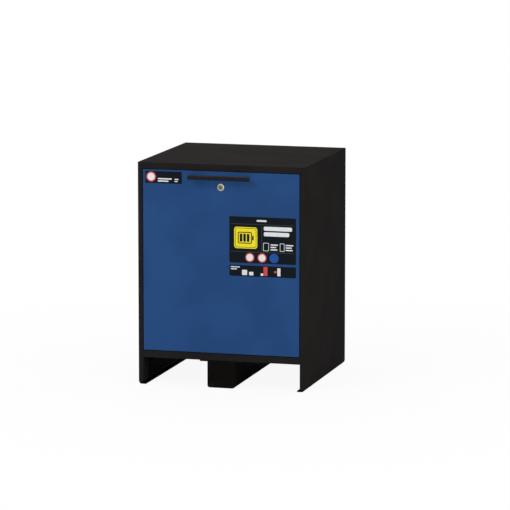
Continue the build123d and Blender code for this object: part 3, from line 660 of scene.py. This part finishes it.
# %% Rivets round the spigots
def dome_ring_tree():
    inputs = [("Middle", "Vector", None), ("Count", "Int", 6), ("Ring Radius", "Float", 0.03)]
    inputs += [("Dome Radius", "Float", 0.002), ("Finish", "Material", None)]
    tree, sizes = repeat_tree("dome_ring", inputs)
    values = {"Vertices": sizes["Count"], "Radius": sizes["Ring Radius"]}
    ring = add_node(tree, "GeometryNodeMeshCircle", {}, values).outputs["Mesh"]
    values = {"Geometry": ring, "Translation": sizes["Middle"], "Rotation": (pi / 2, 0, 0)}
    upright = add_node(tree, "GeometryNodeTransform", {}, values).outputs["Geometry"]
    repeat_on(tree, sizes, upright, dome_shape(tree, sizes["Dome Radius"]), scale=(1, 0.5, 1))
    return tree


dome_ring = dome_ring_tree()
flange_thickness, flange_edge = 2 * MM, 6.2 * MM
flange_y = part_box("back_panel")[1][1] + flange_thickness
rows = []
for side in ("left", "right"):
    low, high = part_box("air_spigot_" + side)
    sizes = {"Count": 6, "Dome Radius": 2.4 * MM, "Ring Radius": (high[0] - low[0]) / 2 - flange_edge}
    sizes["Middle"] = ((low[0] + high[0]) / 2, flange_y, (low[2] + high[2]) / 2)
    rows.append(grow(dome_ring, Finish=rivet_steel, **sizes))
joined("rivets_spigots", rows, rivet_steel, "carcass")

# %% [markdown]
# ## Contacts in the sockets
# Deep in each socket, two holes lead to brass sleeves. They repeat along the strip at the same
# pitch as the sockets, so the same kind of tree makes them, with a short cylinder in place of
# the dome.

# %% Socket contacts
def contact_tree():
    inputs = [("Start", "Vector", None), ("Pitch", "Vector", None), ("Count", "Int", 5)]
    inputs += [("Radius", "Float", 0.002), ("Depth", "Float", 0.001), ("Finish", "Material", None)]
    tree, sizes = repeat_tree("contact_row", inputs)
    values = {"Count": sizes["Count"], "Start Location": sizes["Start"], "Offset": sizes["Pitch"]}
    row = add_node(tree, "GeometryNodeMeshLine", {}, values).outputs["Mesh"]
    values = {"Vertices": 20, "Radius": sizes["Radius"], "Depth": sizes["Depth"]}
    sleeve = add_node(tree, "GeometryNodeMeshCylinder", {}, values).outputs["Mesh"]
    repeat_on(tree, sizes, row, sleeve, turn=(pi / 2, 0, 0))
    return tree


socket_low, socket_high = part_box("socket_inserts")
strip_low, strip_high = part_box("socket_strip")
rim_radius, contact_aside, socket_pitch = 25 * MM, 9.75 * MM, 66 * MM
first_x = socket_low[0] + rim_radius
socket_z = (socket_low[2] + socket_high[2]) / 2
contact_y = socket_high[1] - 1.2 * MM
contact_brass = drawn_metal("contact_brass", tone(190, 156, 92), 0.3, "Y", 0.004)
contact_row = contact_tree()
rows = []
for side in (1, -1):
    sizes = {"Count": 5, "Radius": 2.3 * MM, "Depth": 1.4 * MM, "Pitch": (socket_pitch, 0.0, 0.0)}
    sizes["Start"] = (first_x + side * contact_aside, contact_y, socket_z)
    rows.append(grow(contact_row, Finish=contact_brass, **sizes))
contacts = joined("socket_contacts", rows, contact_brass, "carcass")
print("contacts:", len(contacts.data.vertices), "points")

# %% [markdown]
# The strip's cover is held by a screw in each corner, which is the same row of short cylinders
# with a larger radius. No slot is cut in the heads: a thin dark bar on each face is painted shade
# where the slot's shadow would be. The rocker switch gets its two marks, a bar for on and a ring
# for off. The bar lies on the upper half, which leans out by twelve degrees, so it is drawn
# upright and then turned about the rocker's middle.

# %% Cover screws and rocker marks
screw_x, screw_inset = strip_high[0] - 7 * MM, 7 * MM
screw_rise = strip_high[2] - strip_low[2] - 2 * screw_inset
head_radius, head_depth, slot_shade_half = 3.4 * MM, 1.2 * MM, 2.5 * MM
rows = []
# A thin dark bar on each screw head is painted shade in place of a cut slot.
painted_slot_shades = bmesh.new()
for side in (1, -1):
    start = (side * screw_x, strip_low[1] - head_depth / 2, strip_low[2] + screw_inset)
    sizes = {"Count": 2, "Radius": head_radius, "Depth": head_depth, "Pitch": (0.0, 0.0, screw_rise)}
    rows.append(grow(contact_row, Start=start, Finish=zinc, **sizes))
    for z in (start[2], start[2] + screw_rise):
        edges = (start[0] - slot_shade_half, start[0] + slot_shade_half, z - 0.45 * MM, z + 0.45 * MM)
        add_outline(painted_slot_shades, rounded(*edges, 0.2 * MM, 2), strip_low[1] - head_depth, 0.06 * MM)
joined("strip_screws", rows, zinc, "carcass")
# The dark bars are painted slot shade, laid on the heads and not cut into them.
piece("strip_screw_painted_slot_shades", painted_slot_shades, film_dark, "carcass")

rocker_low, rocker_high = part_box("switch_rocker")
rocker_x = (rocker_low[0] + rocker_high[0]) / 2
rocker_z = (rocker_low[2] + rocker_high[2]) / 2
rocker_half = (rocker_high[2] - rocker_low[2]) / 2
rocker_lean = radians(12)
rocker_face = rocker_low[1] + rocker_half * tan(rocker_lean)
mark_depth = 0.1 * MM
marks = bmesh.new()
bar_edges = (rocker_x - 0.7 * MM, rocker_x + 0.7 * MM, rocker_z + 3.5 * MM, rocker_z + 10 * MM)
add_outline(marks, rounded(*bar_edges, 0.3 * MM, 2), rocker_face, mark_depth)
lean = Matrix.Rotation(rocker_lean, 3, "X")
bmesh.ops.rotate(marks, verts=marks.verts, cent=(0, rocker_face, rocker_z), matrix=lean)
ring_outer, ring_inner = [round_outline(rocker_x, rocker_z - 6.5 * MM, r * MM) for r in (3.4, 2.1)]
add_band(marks, ring_outer, ring_inner, rocker_face, mark_depth)
piece("rocker_marks", marks, print_pale, "switch_rocker")

# %% [markdown]
# ## The studio
# A plain pale floor and a white surround, lit by large soft lamps, so that each colour renders
# about as it is written. The floor glows for the camera alone, which makes it almost white while
# it keeps a faint shadow of the cabinet. Metals reflect the surround at its full strength.

# %% Floor and world
def studio_floor(near, far, least=0.92):
    """A matte floor that glows for the camera: nearly white at its middle, and white far away."""
    floor = bpy.data.materials.new("studio_floor")
    floor.use_nodes = True
    tree = floor.node_tree
    tree.nodes.clear()
    camera_ray = Amount(tree, add_node(tree, "ShaderNodeLightPath", {}, {}).outputs["Is Camera Ray"])
    place = add_node(tree, "ShaderNodeTexCoord", {}, {}).outputs["Object"]
    away = add_node(tree, "ShaderNodeVectorMath", {"operation": "LENGTH"}, {0: place}).outputs["Value"]
    share = camera_ray * (least + Amount(tree, away).ramp(near, far) * (1 - least))
    matte = add_node(tree, "ShaderNodeBsdfDiffuse", {}, {"Color": (0.9, 0.9, 0.9, 1)}).outputs[0]
    glow = add_node(tree, "ShaderNodeEmission", {}, {"Color": (1, 1, 1, 1)}).outputs[0]
    mix = add_node(tree, "ShaderNodeMixShader", {}, {0: share, 1: matte, 2: glow}).outputs[0]
    add_node(tree, "ShaderNodeOutputMaterial", {}, {0: mix})
    return floor


ground = bmesh.new()
reach = 30.0
corners = ((-reach, -reach, 0), (reach, -reach, 0), (reach, reach, 0), (-reach, reach, 0))
ground.faces.new([ground.verts.new(corner) for corner in corners])
ground_mesh = bpy.data.meshes.new("floor")
ground.to_mesh(ground_mesh)
ground.free()
ground_mesh.materials.append(studio_floor(0.5, 2.4))
floor = bpy.data.objects.new("floor", ground_mesh)
bpy.context.scene.collection.objects.link(floor)

world = bpy.data.worlds.new("studio")
bpy.context.scene.world = world
world.use_nodes = True
surround = world.node_tree.nodes["Background"]
surround.inputs["Color"].default_value = (1, 1, 1, 1)
rays = add_node(world.node_tree, "ShaderNodeLightPath", {}, {}).outputs
camera_ray = Amount(world.node_tree, rays["Is Camera Ray"])
glossy_ray = Amount(world.node_tree, rays["Is Glossy Ray"])
strength = 0.5 + camera_ray.at_least(glossy_ray) * 0.5
world.node_tree.links.new(strength.socket, surround.inputs["Strength"])

# %% Lamps
def lamp(name, place, target, size, power):
    data = bpy.data.lights.new(name, "AREA")
    data.size = size
    data.energy = power
    made = bpy.data.objects.new(name, data)
    bpy.context.scene.collection.objects.link(made)
    made.location = place
    made.rotation_euler = (Vector(target) - Vector(place)).to_track_quat("-Z", "Y").to_euler()
    return made


lamp("key", (-2.2, -3.4, 3.4), (0, 0, 0.4), 2.4, 78)
lamp("fill", (3.4, -2.0, 1.8), (0, 0, 0.4), 2.4, 34)
lamp("top", (0.2, 0.6, 3.6), (0, 0, 0.5), 2.2, 24)
lamp("back", (-1.6, 3.4, 2.4), (0, 0, 0.5), 2.2, 34)

# %% [markdown]
# ## The camera
# The cabinet is shown nearly square to its front, with a little of its top and right side. A
# long lens from far away keeps the edges close to parallel.

# %% Camera
camera_data = bpy.data.cameras.new("camera")
camera = bpy.data.objects.new("camera", camera_data)
bpy.context.scene.collection.objects.link(camera)
azimuth, elevation, distance = radians(15.55), radians(8.83), 12.0
toward = Vector((sin(azimuth) * cos(elevation), -cos(azimuth) * cos(elevation), sin(elevation)))
sideways = Vector((cos(azimuth), sin(azimuth), 0))
aim = sideways * 0.0416 + Vector((0, 0, 0.4214))
camera.location = aim + toward * distance
camera.rotation_euler = (-toward).to_track_quat("-Z", "Y").to_euler()
camera_data.lens = 241.7
camera_data.sensor_width = 36
camera_data.clip_end = 100
bpy.context.scene.camera = camera
bpy.context.scene.view_settings.view_transform = "Standard"
